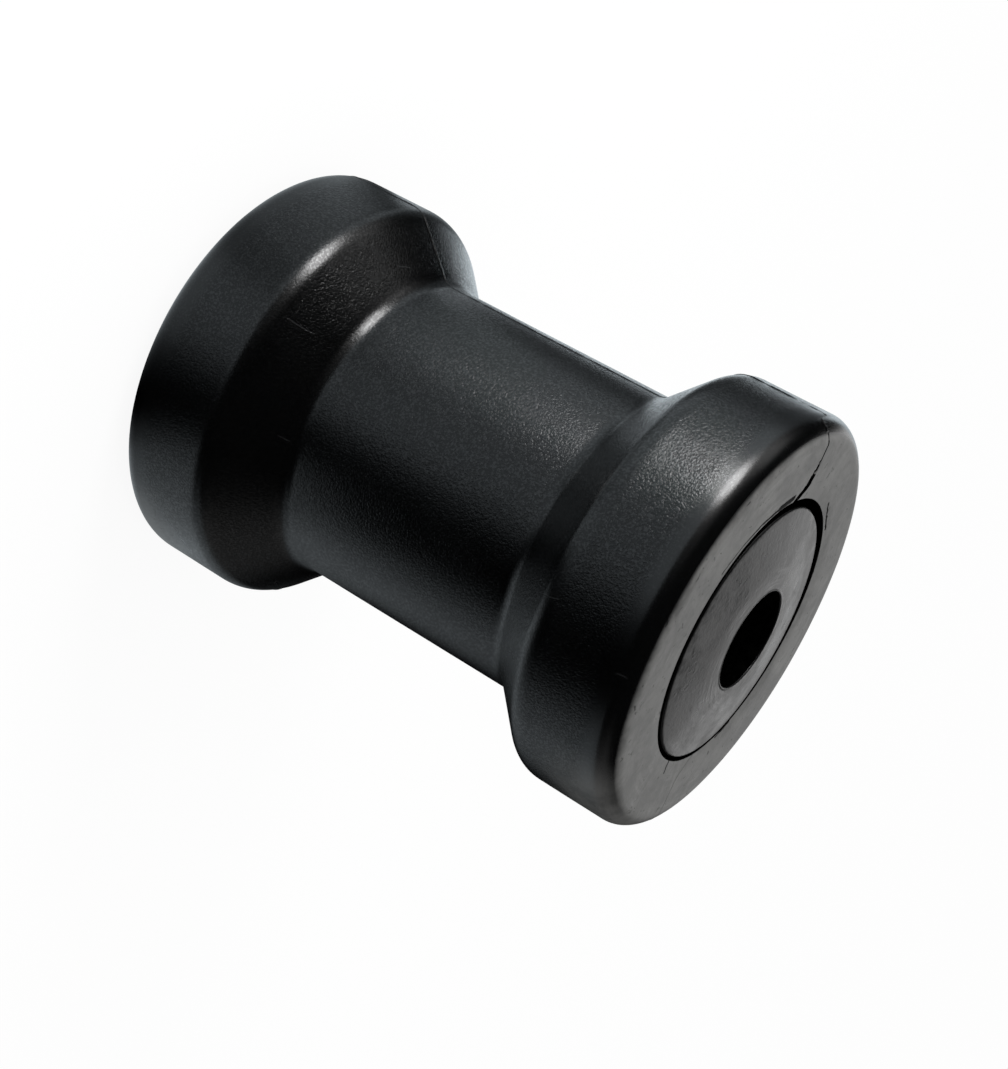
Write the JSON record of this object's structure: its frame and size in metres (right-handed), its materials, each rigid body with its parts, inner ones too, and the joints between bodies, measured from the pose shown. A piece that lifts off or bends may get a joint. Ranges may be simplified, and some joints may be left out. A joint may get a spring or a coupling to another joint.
{
  "type": "boat trailer roller",
  "caption": "Keel roller for a boat trailer: a waisted sleeve with flanged ends that turns on a thick core, which is bored through for the spindle.",
  "frame": {"origin": "middle of the sleeve's length, on the sleeve's own axis", "axes": "+Z along the sleeve's axis, towards the end face that the picture shows; +X so that the mould's parting plane lies 17 degrees from it"},
  "size_m": [0.089, 0.089, 0.1256],
  "materials": {
    "sleeve_moulding": "fine matt grain with a soft sheen",
    "core_moulding": "matt, with faint turning swirls on the ends"
  },
  "bodies": {
    "core": {"core": "core_moulding"},
    "sleeve": {"roller_body": "sleeve_moulding"}
  },
  "joints": [
    {"name": "roller_spin", "type": "hinge", "parent": "core", "child": "sleeve", "pos_m": [0, 0, 0], "axis": [0, 0, 1], "continuous": true}
  ]
}
